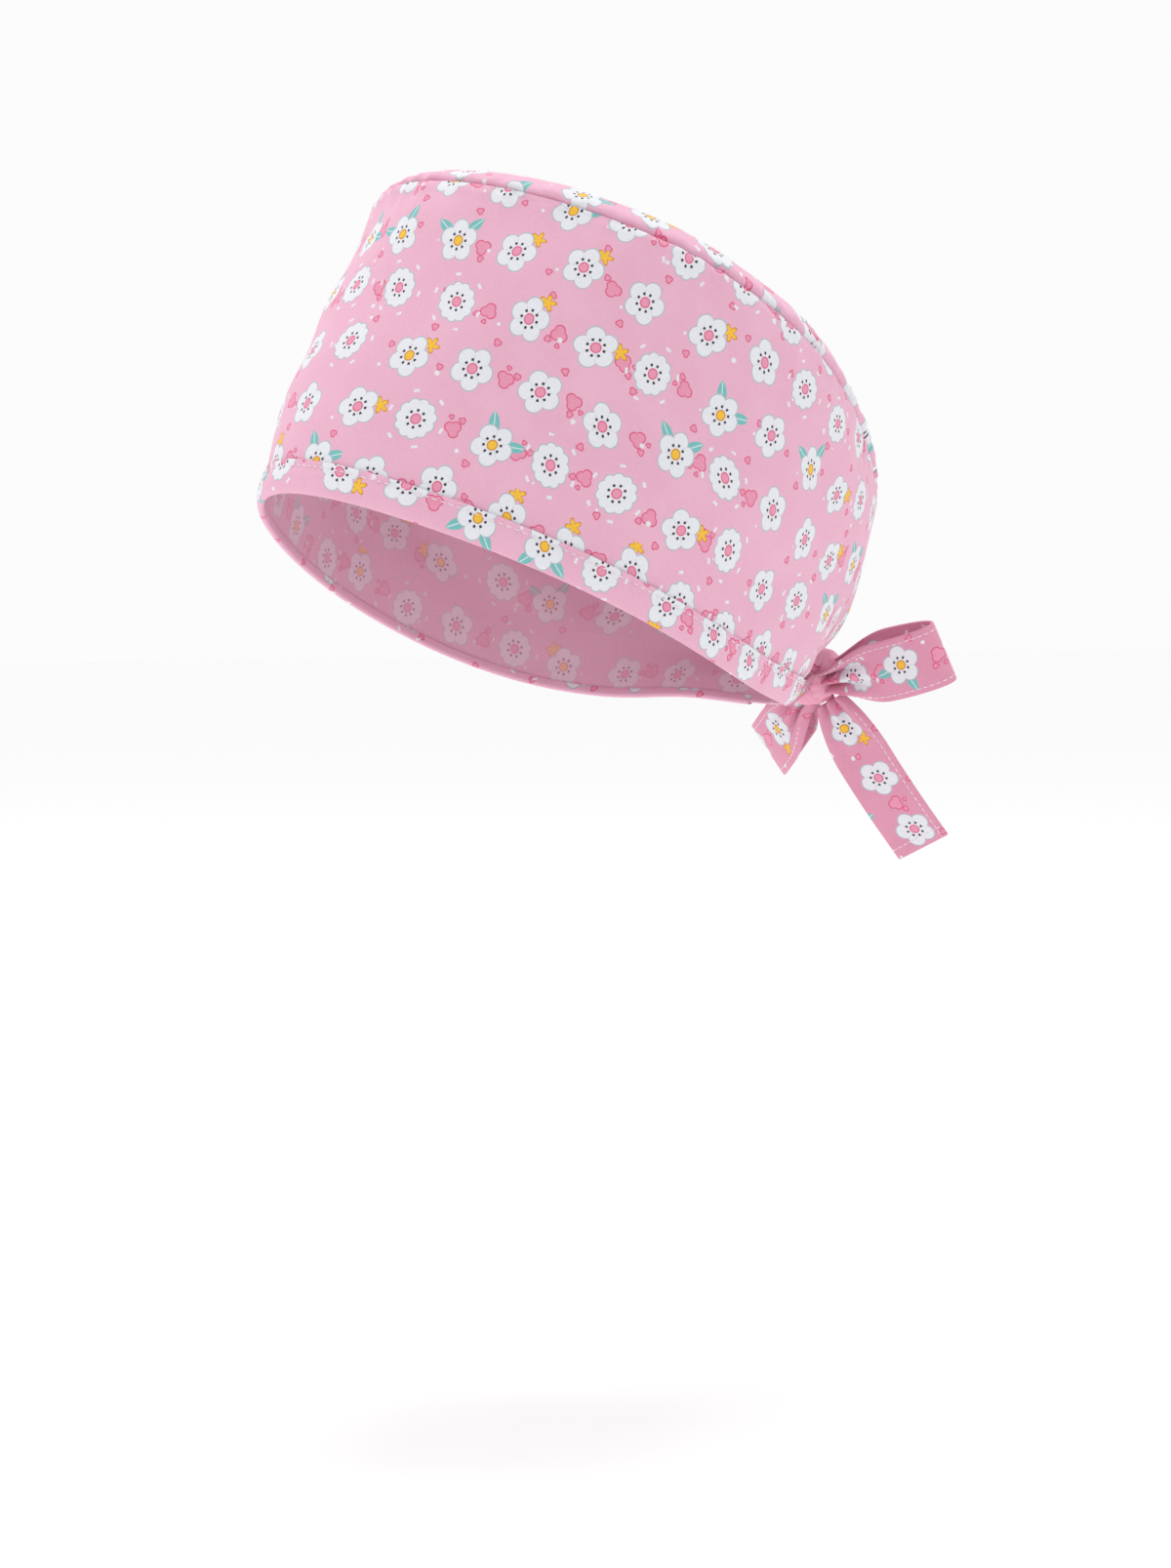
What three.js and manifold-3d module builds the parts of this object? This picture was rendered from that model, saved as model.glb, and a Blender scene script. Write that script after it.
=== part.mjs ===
// Tie-back cap of printed cotton, shown as it is worn: a side band cut from one strip, a flat
// crown panel sewn into its top, a cuff turned up round the head opening, and a strap that
// runs in the cuff and is tied in a bow at the back.
// Millimetres, +Z up, the wearer faces -Y and +X is the wearer's left. The origin is the
// centre of the head opening.
import * as THREE from 'three';
import { mergeVertices } from 'three/addons/utils/BufferGeometryUtils.js';
import Module from 'manifold-3d';

// Driving dimensions

const HEAD_HALF_LENGTH = 100;     // centre of the opening to the forehead
const HEAD_HALF_WIDTH = 80;       // centre of the opening to the side of the head
const OPENING_TILT = 20.9;        // degrees, the opening slopes down to the back of the head
const CLOTH = 1.2;                // wall of the band and of the crown
const GAP = 0.3;                  // clearance between neighbouring pieces
const SEAM_HEIGHT = 110;          // height of the crown seam over the opening, sets the cap's depth
const HEM_STIFFNESS = 0.314;      // share of the height over which the band leaves the opening straight
const SEAM_STIFFNESS = 0.125;     // share of the height over which it runs straight into the crown seam
const CROWN_RISE = 12.4;          // height of the crown's middle over its seam
const CROWN_POWER = 8.2;          // how full the crown stands at its seam and how flat its middle is
const DRAW_DEPTH = 7.5;           // the tied strap draws the hem in on both sides of the knot
const DRAW_ANGLE = 23;            // degrees from the centre back to the deepest draw
const DRAW_SPREAD = 14;           // degrees over which the draw fades round the head
const DRAW_FADE = 0.35;           // share of the band's height over which the draw fades upward
const CUFF_HEIGHT = 9.5;          // turned-up cuff
const CUFF_MOUTH = 10;            // half the opening in the cuff at the centre back
const STRAP_WIDTH = 22;           // flat width of the strap
const STRAP_CLOTH = 1.4;          // folded strap
const KNOT_HALF_WIDTH = 7.5;
const KNOT_HALF_HEIGHT = 10.4;
const KNOT_HALF_DEPTH = 6.5;
const KNOT_POWER = 0.8;           // 1 is an ellipsoid, less is boxier
const KNOT_RISE = 19;             // up the band from the hem to the knot's middle
const LOOP_LEFT_LENGTH = 50.5;
const LOOP_RIGHT_LENGTH = 47;
const LOOP_BELLY = 7.6;           // half the distance between the two strands of a loop
const LOOP_RIGHT_SLIDE = 3.6;     // how far the right loop's strands slide over each other, across their width
const END_LEFT_LENGTH = 61;
const END_RIGHT_LENGTH = 50;
const PINCH = 0.42;               // share of the strap's width that is left at the knot
const PINCH_POWER = 0.7;          // how soon the pinched strap opens again
const LOOP_OPENING = 0.55;        // share of a loop's length over which the strap opens
const END_OPENING = 0.3;          // the same for a free end
const END_SAG = 0.03;             // bow of a free end, share of its length
const LOOP_ROOT = 0.085;          // share of a loop's turn at which its strands leave the knot
const CASING_MARGIN = 1.5;        // height of the cuff that its stitching keeps from the strap

// Shape of the worn band from the front of the head to the back, every 45 degrees.
// hemRise: rise of the hem over the opening plane, share of SEAM_HEIGHT
// hemReach: reach of the hem, share of the head's half sizes
// seamHeight: height of the crown seam, share of SEAM_HEIGHT
// seamReach: reach of the crown seam, share of the head's half sizes
// lowBulge, highBulge: outward fullness of the cloth low and high on the band, same share
const SECTIONS = [
  { hemRise: 0.023, hemReach: 0.985, seamHeight: 1.015, seamReach: 0.909, lowBulge: 0.076, highBulge: 0.008 },
  { hemRise: -0.004, hemReach: 0.957, seamHeight: 1.005, seamReach: 0.952, lowBulge: 0.059, highBulge: 0.056 },
  { hemRise: -0.061, hemReach: 1.016, seamHeight: 0.946, seamReach: 1.019, lowBulge: 0.070, highBulge: 0.097 },
  { hemRise: -0.045, hemReach: 0.969, seamHeight: 0.798, seamReach: 0.986, lowBulge: 0.072, highBulge: 0.072 },
  { hemRise: 0.051, hemReach: 1.049, seamHeight: 0.683, seamReach: 1.077, lowBulge: 0.085, highBulge: 0.097 },
];

// Where the bow's pieces leave the knot and where they lie.
// root: offset from the knot's middle; along: direction it runs; across: direction of its width
const LOOP_LEFT_LAY = { root: [2, 0, -1.2], along: [45, 16, 10], across: [-0.06, 0.42, -0.91] };
const LOOP_RIGHT_LAY = { root: [-2, -0.5, -4], along: [-43, 14, -23], across: [0.26, 0.35, -0.90] };
const END_LEFT_LAY = { root: [4.4, 2.7, -8.0], along: [0.265, 0.475, -0.84], across: [0.84, 0.24, 0.57] };
const END_RIGHT_LAY = { root: [-1.5, 4, -4], along: [-14, 37, -36], across: [-0.83, 0.56, 0] };

// Mesh fineness

const ROUND_STEPS = 72;
const BAND_STEPS = 14;
const CROWN_STEPS = 9;
const CROWN_CROWDING = 1.8;       // the crown's rows crowd toward its seam
const STRAP_STEPS = 30;
const CASING_STEPS = 15;
const STRAP_WIDTH_STEPS = 3;
const KNOT_STEPS = 28;
const LENGTH_STEPS = 400;
const SMALL_STEP = 1e-3;
const SAME_POINT = 1e-4;

const TILT = THREE.MathUtils.degToRad(OPENING_TILT);
const FULL_TURN = 2 * Math.PI;
const BACK = Math.PI;

// The table's values blend smoothly round the head, the same on the left and the right: a sum
// of cosines of 0 to 4 times the angle that meets every row.
function cosineSeries(column) {
  const values = SECTIONS.map((row) => row[column]);
  const last = values.length - 1;
  return values.map((unused, order) => {
    let sum = 0;
    values.forEach((value, i) => {
      const ends = i === 0 || i === last ? 2 : 1;
      sum += (value * Math.cos((order * i * Math.PI) / last)) / ends;
    });
    const share = order === 0 || order === last ? 1 : 2;
    return (share * sum) / last;
  });
}
const SERIES = Object.fromEntries(Object.keys(SECTIONS[0]).map((column) => [column, cosineSeries(column)]));
function around(column, angle) {
  return SERIES[column].reduce((sum, value, order) => sum + value * Math.cos(order * angle), 0);
}
const SEAM_MEAN = SERIES.seamHeight[0] * SEAM_HEIGHT;

// From the opening's own frame to the part's frame: the opening slopes down to the back
function tilt(x, y, z) {
  return new THREE.Vector3(
    x,
    y * Math.cos(TILT) + z * Math.sin(TILT),
    -y * Math.sin(TILT) + z * Math.cos(TILT),
  );
}

// Inward draw beside the knot, a share of the head's half length
function drawIn(angle, share) {
  const fromBack = Math.abs(THREE.MathUtils.radToDeg(Math.acos(-Math.cos(angle))));
  const round = Math.exp(-(((fromBack - DRAW_ANGLE) / DRAW_SPREAD) ** 2));
  const up = Math.exp(-((share / DRAW_FADE) ** 2));
  return (DRAW_DEPTH / HEAD_HALF_LENGTH) * round * up;
}

// A point of the band's middle surface. angle is 0 at the front and grows to the wearer's
// left; share is 0 at the hem and 1 at the crown seam. The section is a cubic curve.
function bandPoint(angle, share) {
  const hemZ = around('hemRise', angle) * SEAM_HEIGHT;
  const seamZ = around('seamHeight', angle) * SEAM_HEIGHT;
  const hemReach = around('hemReach', angle);
  const seamReach = around('seamReach', angle);
  const reach = [hemReach, hemReach + around('lowBulge', angle), seamReach + around('highBulge', angle), seamReach];
  const rise = seamZ - hemZ;
  const height = [hemZ, hemZ + HEM_STIFFNESS * rise, seamZ - SEAM_STIFFNESS * rise, seamZ];
  const rest = 1 - share;
  const blend = [rest ** 3, 3 * rest ** 2 * share, 3 * rest * share ** 2, share ** 3];
  const mix = (list) => list.reduce((sum, value, i) => sum + value * blend[i], 0);
  const r = mix(reach) - drawIn(angle, share);
  return tilt(r * Math.sin(angle) * HEAD_HALF_WIDTH, -r * Math.cos(angle) * HEAD_HALF_LENGTH, mix(height));
}

// A point of the crown's middle surface. share is 1 at the seam and 0 at the middle.
function crownPoint(angle, share) {
  const seamZ = around('seamHeight', angle) * SEAM_HEIGHT;
  const r = around('seamReach', angle) * share;
  const z = seamZ * share + SEAM_MEAN * (1 - share) + CROWN_RISE * (1 - share ** CROWN_POWER);
  return tilt(r * Math.sin(angle) * HEAD_HALF_WIDTH, -r * Math.cos(angle) * HEAD_HALF_LENGTH, z);
}

// Outward normal of a surface of (angle, share)
function surfaceNormal(point, angle, share, outward) {
  const low = Math.max(0, share - SMALL_STEP);
  const high = Math.min(1, share + SMALL_STEP);
  const alongAngle = point(angle + SMALL_STEP, share).sub(point(angle - SMALL_STEP, share));
  const alongShare = point(angle, high).sub(point(angle, low));
  return alongAngle.cross(alongShare).normalize().multiplyScalar(outward);
}
const bandNormal = (angle, share) => surfaceNormal(bandPoint, angle, share, 1);
const crownNormal = (angle, share) => surfaceNormal(crownPoint, angle, share, -1);

// At the seam both cloths end on one mitre plane between their two normals
function seamMitre(angle) {
  const band = bandNormal(angle, 1);
  const crown = crownNormal(angle, 1);
  const mitre = band.clone().add(crown).normalize();
  return mitre.divideScalar(mitre.dot(band));
}

// Share of the band's height that lies a given length of cloth above the hem
function shareAtRise(angle, rise) {
  let length = 0;
  let last = bandPoint(angle, 0);
  for (let i = 1; i <= LENGTH_STEPS; i++) {
    const here = bandPoint(angle, i / LENGTH_STEPS);
    const piece = here.distanceTo(last);
    if (length + piece >= rise) {
      return (i - 1 + (rise - length) / piece) / LENGTH_STEPS;
    }
    length += piece;
    last = here;
  }
  return 1;
}

// A closed mesh from points and triangles. Points at one place are merged, the triangles that
// this leaves without area are dropped, and the faces are turned outward.
function closedMesh(points, triangles) {
  const geometry = new THREE.BufferGeometry();
  const positions = points.flatMap((p) => [p.x, p.y, p.z]);
  geometry.setAttribute('position', new THREE.Float32BufferAttribute(positions, 3));
  geometry.setIndex(triangles.flat());
  const merged = mergeVertices(geometry, SAME_POINT);
  const place = merged.getAttribute('position');
  const corner = merged.getIndex().array;
  const kept = [];
  let volume = 0;
  for (let i = 0; i < corner.length; i += 3) {
    const face = [corner[i], corner[i + 1], corner[i + 2]];
    if (new Set(face).size === 3) {
      const [a, b, c] = face.map((k) => new THREE.Vector3().fromBufferAttribute(place, k));
      volume += a.dot(b.cross(c));
      kept.push(face);
    }
  }
  merged.setIndex(kept.flatMap(([a, b, c]) => (volume < 0 ? [a, c, b] : [a, b, c])));
  return merged;
}

// A mesh through rings of points, each ring a closed outline with as many points as the next.
// Without end faces the last ring joins the first.
function ringMesh(rings, endFaces = []) {
  const count = rings[0].length;
  const closed = endFaces.length === 0;
  const spans = closed ? rings.length : rings.length - 1;
  const triangles = [];
  for (let i = 0; i < spans; i++) {
    const here = i * count;
    const next = ((i + 1) % rings.length) * count;
    for (let j = 0; j < count; j++) {
      const k = (j + 1) % count;
      triangles.push([here + j, next + j, next + k], [here + j, next + k, here + k]);
    }
  }
  const far = spans * count;
  for (const [a, b, c] of endFaces) {
    triangles.push([a, b, c], [far + a, far + c, far + b]);
  }
  return closedMesh(rings.flat(), triangles);
}

// The rings' angles round the head
const TURNS = Array.from({ length: ROUND_STEPS }, (unused, i) => (i / ROUND_STEPS) * FULL_TURN - BACK);

// A wall of cloth round the head. middleLine gives the wall's middle and the way to its outer
// face at one angle, as a list from one edge to the other.
function clothWall(middleLine) {
  const rings = TURNS.map((angle) => {
    const line = middleLine(angle);
    const face = (side) => line.map(({ middle, out }) => middle.clone().addScaledVector(out, (side * CLOTH) / 2));
    return [...face(1), ...face(-1).reverse()];
  });
  return ringMesh(rings);
}

// Side band. Its lower edge sits inside the fold of the cuff and its upper edge on the seam's
// mitre, half a gap short of the crown.
function sideBand() {
  return clothWall((angle) => {
    const start = shareAtRise(angle, CLOTH + GAP);
    const line = [];
    for (let j = 0; j < BAND_STEPS; j++) {
      const share = start + (1 - start) * (j / BAND_STEPS);
      line.push({ middle: bandPoint(angle, share), out: bandNormal(angle, share) });
    }
    const seam = bandPoint(angle, 1);
    const down = bandPoint(angle, 1 - SMALL_STEP).sub(seam).normalize();
    line.push({ middle: seam.addScaledVector(down, GAP / 2), out: seamMitre(angle) });
    return line;
  });
}

// Crown panel, from its middle to the seam's mitre
function crownPanel() {
  return clothWall((angle) => {
    const line = [{ middle: crownPoint(angle, 0), out: crownNormal(0, SMALL_STEP) }];
    for (let j = 1; j < CROWN_STEPS; j++) {
      const share = 1 - (1 - j / CROWN_STEPS) ** CROWN_CROWDING;
      line.push({ middle: crownPoint(angle, share), out: crownNormal(angle, share) });
    }
    const seam = crownPoint(angle, 1);
    const inward = crownPoint(angle, 1 - SMALL_STEP).sub(seam).normalize();
    line.push({ middle: seam.addScaledVector(inward, GAP / 2), out: seamMitre(angle) });
    return line;
  });
}

// A point at a given length of cloth above the hem and a given distance outside the band's
// middle surface
function nearBand(angle, rise, out) {
  const share = shareAtRise(angle, rise);
  return bandPoint(angle, share).addScaledVector(bandNormal(angle, share), out);
}

// Half angle of the opening in the cuff at the centre back
const BACK_HEM = bandPoint(BACK, 0);
const MOUTH_ANGLE = CUFF_MOUTH / (around('hemReach', BACK) * HEAD_HALF_WIDTH);

// Cuff: an L section whose foot passes under the band's lower edge. Its outline runs from the
// foot's corner up the outer face, in at the top, down to the inner corner and along the foot.
function hemCuff() {
  const outer = CLOTH / 2 + GAP + CLOTH;
  const inner = CLOTH / 2 + GAP;
  const foot = -CLOTH / 2;
  const outline = [
    [0, foot], [0, outer], [CUFF_HEIGHT / 2, outer], [CUFF_HEIGHT, outer],
    [CUFF_HEIGHT, inner], [CLOTH, inner], [CLOTH, foot],
  ];
  const endFaces = [[0, 1, 6], [1, 5, 6], [1, 2, 5], [2, 3, 4], [2, 4, 5]];
  const reach = BACK - MOUTH_ANGLE;
  const inside = TURNS.filter((angle) => Math.abs(angle) < reach - SMALL_STEP);
  const angles = [-reach, ...inside, reach];
  return ringMesh(angles.map((angle) => outline.map(([rise, out]) => nearBand(angle, rise, out))), endFaces);
}

// Knot frame: it lies against the cuff and leans with the band's slope at the back
const BAND_SLOPE = bandPoint(BACK, shareAtRise(BACK, CUFF_HEIGHT)).sub(BACK_HEM).normalize();
const BAND_OUT = bandNormal(BACK, shareAtRise(BACK, CUFF_HEIGHT / 2));
const KNOT_OUT = CLOTH / 2 + GAP + CLOTH + GAP + KNOT_HALF_DEPTH;
const KNOT = BACK_HEM.clone().addScaledVector(BAND_SLOPE, KNOT_RISE).addScaledVector(BAND_OUT, KNOT_OUT);

// The knot: a lump with rounded corners, a superellipsoid grown by a margin. Each ring is a
// line from its lower pole to its upper one.
function knotGeometry(margin) {
  const power = (value) => Math.sign(value) * Math.abs(value) ** KNOT_POWER;
  const across = new THREE.Vector3(1, 0, 0);
  const half = KNOT_STEPS / 2;
  const rings = [];
  for (let i = 0; i < KNOT_STEPS; i++) {
    const round = (i / KNOT_STEPS) * FULL_TURN;
    const line = [];
    for (let j = 0; j <= half; j++) {
      const rise = (j / half - 1 / 2) * Math.PI;
      const girth = j % half === 0 ? 0 : power(Math.cos(rise));
      line.push(KNOT.clone()
        .addScaledVector(across, girth * power(Math.cos(round)) * (KNOT_HALF_WIDTH + margin))
        .addScaledVector(BAND_SLOPE, power(Math.sin(rise)) * (KNOT_HALF_HEIGHT + margin))
        .addScaledVector(BAND_OUT, girth * power(Math.sin(round)) * (KNOT_HALF_DEPTH + margin)));
    }
    rings.push(line);
  }
  return ringMesh(rings);
}

// Directions of a piece of strap: along its run, across its width, and out of its face
function layFrame(lay) {
  const along = new THREE.Vector3(...lay.along).normalize();
  const across = new THREE.Vector3(...lay.across);
  across.addScaledVector(along, -across.dot(along)).normalize();
  const out = along.clone().cross(across);
  const root = KNOT.clone().add(new THREE.Vector3(...lay.root));
  return { along, across, out, root };
}

// A flat strap along a line of points. The direction of its width stays, and its face stays
// square to its run. An end ring has one face's points and then the other's, backward.
function strapMesh(points, across, widths) {
  const rings = points.map((middle, i) => {
    const before = points[Math.max(0, i - 1)];
    const after = points[Math.min(points.length - 1, i + 1)];
    const out = after.clone().sub(before).cross(across).normalize();
    const face = (side) => Array.from({ length: STRAP_WIDTH_STEPS + 1 }, (unused, k) => {
      const place = (k / STRAP_WIDTH_STEPS - 1 / 2) * widths[i];
      return middle.clone().addScaledVector(across, place).addScaledVector(out, (side * STRAP_CLOTH) / 2);
    });
    return [...face(1), ...face(-1).reverse()];
  });
  const last = rings[0].length - 1;
  const endFaces = [];
  for (let j = 0; j < STRAP_WIDTH_STEPS; j++) {
    endFaces.push([j, j + 1, last - 1 - j], [j, last - 1 - j, last - j]);
  }
  return ringMesh(rings, endFaces);
}

// Width of the strap at a distance from the knot: pinched there and flat from `full` on
function pinchedWidth(distance, full) {
  const open = THREE.MathUtils.clamp(distance / full, 0, 1) ** PINCH_POWER;
  return STRAP_WIDTH * (PINCH + (1 - PINCH) * open);
}

// A loop of the bow: out, round its fold and back, a drop-shaped path whose two strands start
// inside the knot, a little apart. slide: how far one strand lies across the other
function bowLoop(lay, length, slide) {
  const { along, across, out, root } = layFrame(lay);
  const apart = out.clone().multiplyScalar(LOOP_BELLY).addScaledVector(across, slide);
  const points = [];
  const widths = [];
  for (let i = 0; i <= STRAP_STEPS; i++) {
    const share = LOOP_ROOT + (1 - 2 * LOOP_ROOT) * (i / STRAP_STEPS);
    const turn = Math.PI * share;
    const reach = length * Math.sin(turn) ** 2;
    const belly = Math.sin(2 * turn) * Math.sqrt(Math.sin(turn));
    points.push(root.clone().addScaledVector(along, reach).addScaledVector(apart, belly));
    widths.push(pinchedWidth(reach, LOOP_OPENING * length));
  }
  return strapMesh(points, across, widths);
}

// A free end of the bow, slightly bowed along its run
function bowEnd(lay, length) {
  const { along, across, out, root } = layFrame(lay);
  const points = [];
  const widths = [];
  for (let i = 0; i <= STRAP_STEPS; i++) {
    const share = i / STRAP_STEPS;
    const bow = END_SAG * length * Math.sin(Math.PI * share);
    points.push(root.clone().addScaledVector(along, share * length).addScaledVector(out, bow));
    widths.push(pinchedWidth(share * length, END_OPENING * length));
  }
  return strapMesh(points, across, widths);
}

// The strap between the mouth of the cuff and the knot, on one side (1 left, -1 right)
function casingStrap(side) {
  const angle = BACK - side * (MOUTH_ANGLE - STRAP_CLOTH / HEAD_HALF_WIDTH);
  const mouth = nearBand(angle, CUFF_HEIGHT / 2, CLOTH / 2 + GAP + STRAP_CLOTH / 2);
  const points = Array.from({ length: CASING_STEPS + 1 }, (unused, i) => mouth.clone().lerp(KNOT, i / CASING_STEPS));
  return strapMesh(points, BAND_SLOPE, points.map(() => CUFF_HEIGHT - CASING_MARGIN));
}

const wasm = await Module();
wasm.setup();

function toSolid(geometry) {
  const bare = geometry.clone();
  bare.deleteAttribute('normal');
  const vertProperties = new Float32Array(bare.getAttribute('position').array);
  const triVerts = new Uint32Array(bare.getIndex().array);
  return new wasm.Manifold(new wasm.Mesh({ numProp: 3, vertProperties, triVerts }));
}

function toGeometry(solid) {
  const mesh = solid.getMesh();
  const geometry = new THREE.BufferGeometry();
  geometry.setAttribute('position', new THREE.Float32BufferAttribute(mesh.vertProperties, 3));
  geometry.setIndex(Array.from(mesh.triVerts));
  return geometry;
}

const KNOT_ROOM = toSolid(knotGeometry(GAP));
const clearOfKnot = (geometry) => toGeometry(toSolid(geometry).subtract(KNOT_ROOM));

const PINK = 0xe2a6be;
const cloth = (colour) => new THREE.MeshStandardMaterial({ color: colour, roughness: 0.85, metalness: 0 });

const cap = new THREE.Group();
function addPiece(name, geometry, colour) {
  geometry.computeVertexNormals();
  const mesh = new THREE.Mesh(geometry, cloth(colour));
  mesh.name = name;
  cap.add(mesh);
}

addPiece('side_band', sideBand(), PINK);
addPiece('crown_panel', crownPanel(), PINK);
addPiece('hem_cuff', hemCuff(), PINK);
addPiece('tie_strap_left', clearOfKnot(casingStrap(1)), PINK);
addPiece('tie_strap_right', clearOfKnot(casingStrap(-1)), PINK);
addPiece('bow_knot', knotGeometry(0), PINK);
addPiece('bow_loop_left', clearOfKnot(bowLoop(LOOP_LEFT_LAY, LOOP_LEFT_LENGTH, 0)), PINK);
const loopRight = bowLoop(LOOP_RIGHT_LAY, LOOP_RIGHT_LENGTH, LOOP_RIGHT_SLIDE);
addPiece('bow_loop_right', clearOfKnot(loopRight), PINK);
addPiece('tie_end_left', clearOfKnot(bowEnd(END_LEFT_LAY, END_LEFT_LENGTH)), PINK);
addPiece('tie_end_right', clearOfKnot(bowEnd(END_RIGHT_LAY, END_RIGHT_LENGTH)), PINK);

export default cap;
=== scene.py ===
import math

import bmesh
import bpy
import numpy as np
from mathutils import Matrix, Vector


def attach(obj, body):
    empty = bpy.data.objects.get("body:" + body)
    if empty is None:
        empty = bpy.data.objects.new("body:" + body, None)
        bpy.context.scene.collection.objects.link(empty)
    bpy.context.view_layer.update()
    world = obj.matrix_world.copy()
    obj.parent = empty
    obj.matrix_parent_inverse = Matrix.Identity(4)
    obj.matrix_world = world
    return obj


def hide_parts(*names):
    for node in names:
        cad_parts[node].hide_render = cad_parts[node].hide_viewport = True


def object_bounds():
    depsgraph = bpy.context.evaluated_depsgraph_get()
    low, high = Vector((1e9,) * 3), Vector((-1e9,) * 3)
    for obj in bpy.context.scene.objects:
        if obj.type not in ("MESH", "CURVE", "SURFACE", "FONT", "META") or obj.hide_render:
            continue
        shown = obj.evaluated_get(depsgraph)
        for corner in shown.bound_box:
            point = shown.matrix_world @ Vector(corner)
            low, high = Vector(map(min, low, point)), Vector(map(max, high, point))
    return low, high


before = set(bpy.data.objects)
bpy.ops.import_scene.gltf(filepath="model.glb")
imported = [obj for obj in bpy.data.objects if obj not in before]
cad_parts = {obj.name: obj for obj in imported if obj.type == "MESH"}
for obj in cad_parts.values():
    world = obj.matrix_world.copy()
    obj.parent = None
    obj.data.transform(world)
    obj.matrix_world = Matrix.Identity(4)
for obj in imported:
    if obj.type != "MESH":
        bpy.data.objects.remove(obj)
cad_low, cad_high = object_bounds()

# Side band
# The strip of plain-woven cotton that stands round the head. It is joined at the centre back,
# its lower edge is turned up as the cuff, and its upper edge is eased into the crown seam.
MM = 0.001
TURN = 2 * math.pi
BACK = math.pi                  # the centre back, half a turn from the front
HEAD_HALF_LENGTH = 100 * MM
HEAD_HALF_WIDTH = 80 * MM
OPENING_TILT = math.radians(20.9)
CLOTH_WALL = 1.2 * MM           # wall of the solids that the cloth lies in
PIECE_GAP = 0.3 * MM            # clearance between neighbouring pieces
SEAM_HEIGHT = 110 * MM          # height of the crown seam over the head opening
HEM_STIFFNESS = 0.314           # share of the height over which the band leaves the hem straight
SEAM_STIFFNESS = 0.125          # share of the height over which it runs straight into the seam
DRAW_DEPTH = 7.5 * MM           # the tied strap draws the hem in on both sides of the knot
DRAW_ANGLE = 23                 # degrees from the centre back to the deepest draw
DRAW_SPREAD = 14                # degrees over which the draw fades round the head
DRAW_FADE = 0.35                # share of the band's height over which the draw fades upward
# From the front to the back, every 45 degrees. Rise and height are shares of SEAM_HEIGHT, the rest
# are shares of the head's half sizes.
SECTIONS = {
    "hem_rise": (0.023, -0.004, -0.061, -0.045, 0.051),
    "hem_reach": (0.985, 0.957, 1.016, 0.969, 1.049),
    "seam_height": (1.012, 1.000, 0.929, 0.777, 0.670),
    "seam_reach": (0.909, 0.952, 1.019, 0.986, 1.077),
    "low_bulge": (0.076, 0.059, 0.070, 0.072, 0.085),
    "high_bulge": (0.008, 0.056, 0.097, 0.072, 0.097),
}
BAND_AROUND = 400
BAND_UP = 110
BAND_CROWDING = 1.6             # rows crowd toward the seam by this power of their place
COTTON_THICKNESS = 0.8 * MM
SEAM_DEPTH = 2.3 * MM           # how far the cloth is turned in at the seam's line
BAND_ROLL = 0.7 * MM            # radius at which the band turns into the seam
SEAM_HOLD = 1.0 * MM            # the stitches hold the cloth flat this close to the line
SWELL_HEIGHT, SWELL_PLACE, SWELL_WIDTH = 0.35 * MM, 3.2 * MM, 1.8 * MM
PUCKER_LENGTH = 11 * MM
PUCKER_FADE = 1.3
COARSE_PUCKER, COARSE_REACH = 0.6 * MM, 8 * MM
FINE_PUCKER, FINE_REACH, FINE_CROWDING = 0.35 * MM, 3.5 * MM, 2.3
SOFT_DENTS = (                  # depth, length and wander up the cloth in mm, and phase
    (0.70, 128, 95, 0.4), (0.52, 83, 150, 2.1), (0.38, 61, 70, 4.4))
FOLD_HEIGHT, FOLD_REACH, FOLD_START = 1.5 * MM, 42 * MM, 8 * MM
FOLD_CENTRE = 14 * MM           # up the band, where the folds run together under the knot
CUFF_COVER = 10 * MM            # the band lies smooth up to here, under the cuff
DENT_START, FOLD_FADE_IN = 18 * MM, 10 * MM    # heights over which hollows and folds begin above it


def around(name, angle):
    """A sum of cosines of 0 to 4 times the angle that meets every row of the table."""
    orders = np.arange(5)
    weights = np.linalg.solve(np.cos(np.outer(orders * math.pi / 4, orders)), SECTIONS[name])
    return sum(weight * np.cos(order * angle) for order, weight in enumerate(weights))


def tilted(x, y, z):
    """Turns points from the opening's own frame about X, so that the opening slopes down to the back."""
    cosine, sine = math.cos(OPENING_TILT), math.sin(OPENING_TILT)
    return np.stack([x + 0 * z, y * cosine + z * sine, z * cosine - y * sine], axis=-1)


def draw_in(angle, share):
    """The hem's draw beside the knot: a bell round the head times a bell up the band."""
    from_back = np.degrees(np.arccos(np.clip(-np.cos(angle), -1, 1)))
    bell = np.exp(-(((from_back - DRAW_ANGLE) / DRAW_SPREAD) ** 2))
    return DRAW_DEPTH / HEAD_HALF_LENGTH * bell * np.exp(-((share / DRAW_FADE) ** 2))


def band_surface(angle, share):
    """Middle of the band's wall: at each angle a cubic curve from the hem (share 0) to the seam (share 1)."""
    hem_z = around("hem_rise", angle) * SEAM_HEIGHT
    seam_z = around("seam_height", angle) * SEAM_HEIGHT
    hem, seam = around("hem_reach", angle), around("seam_reach", angle)
    rest = 1 - share
    blend = (rest**3, 3 * rest**2 * share, 3 * rest * share**2, share**3)
    reach = sum(b * r for b, r in zip(blend, (hem, hem + around("low_bulge", angle),
                                              seam + around("high_bulge", angle), seam)))
    rise = seam_z - hem_z
    height = sum(b * z for b, z in zip(blend, (hem_z, hem_z + HEM_STIFFNESS * rise,
                                               seam_z - SEAM_STIFFNESS * rise, seam_z)))
    reach = reach - draw_in(angle, share)
    return tilted(reach * np.sin(angle) * HEAD_HALF_WIDTH, -reach * np.cos(angle) * HEAD_HALF_LENGTH, height)


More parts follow.
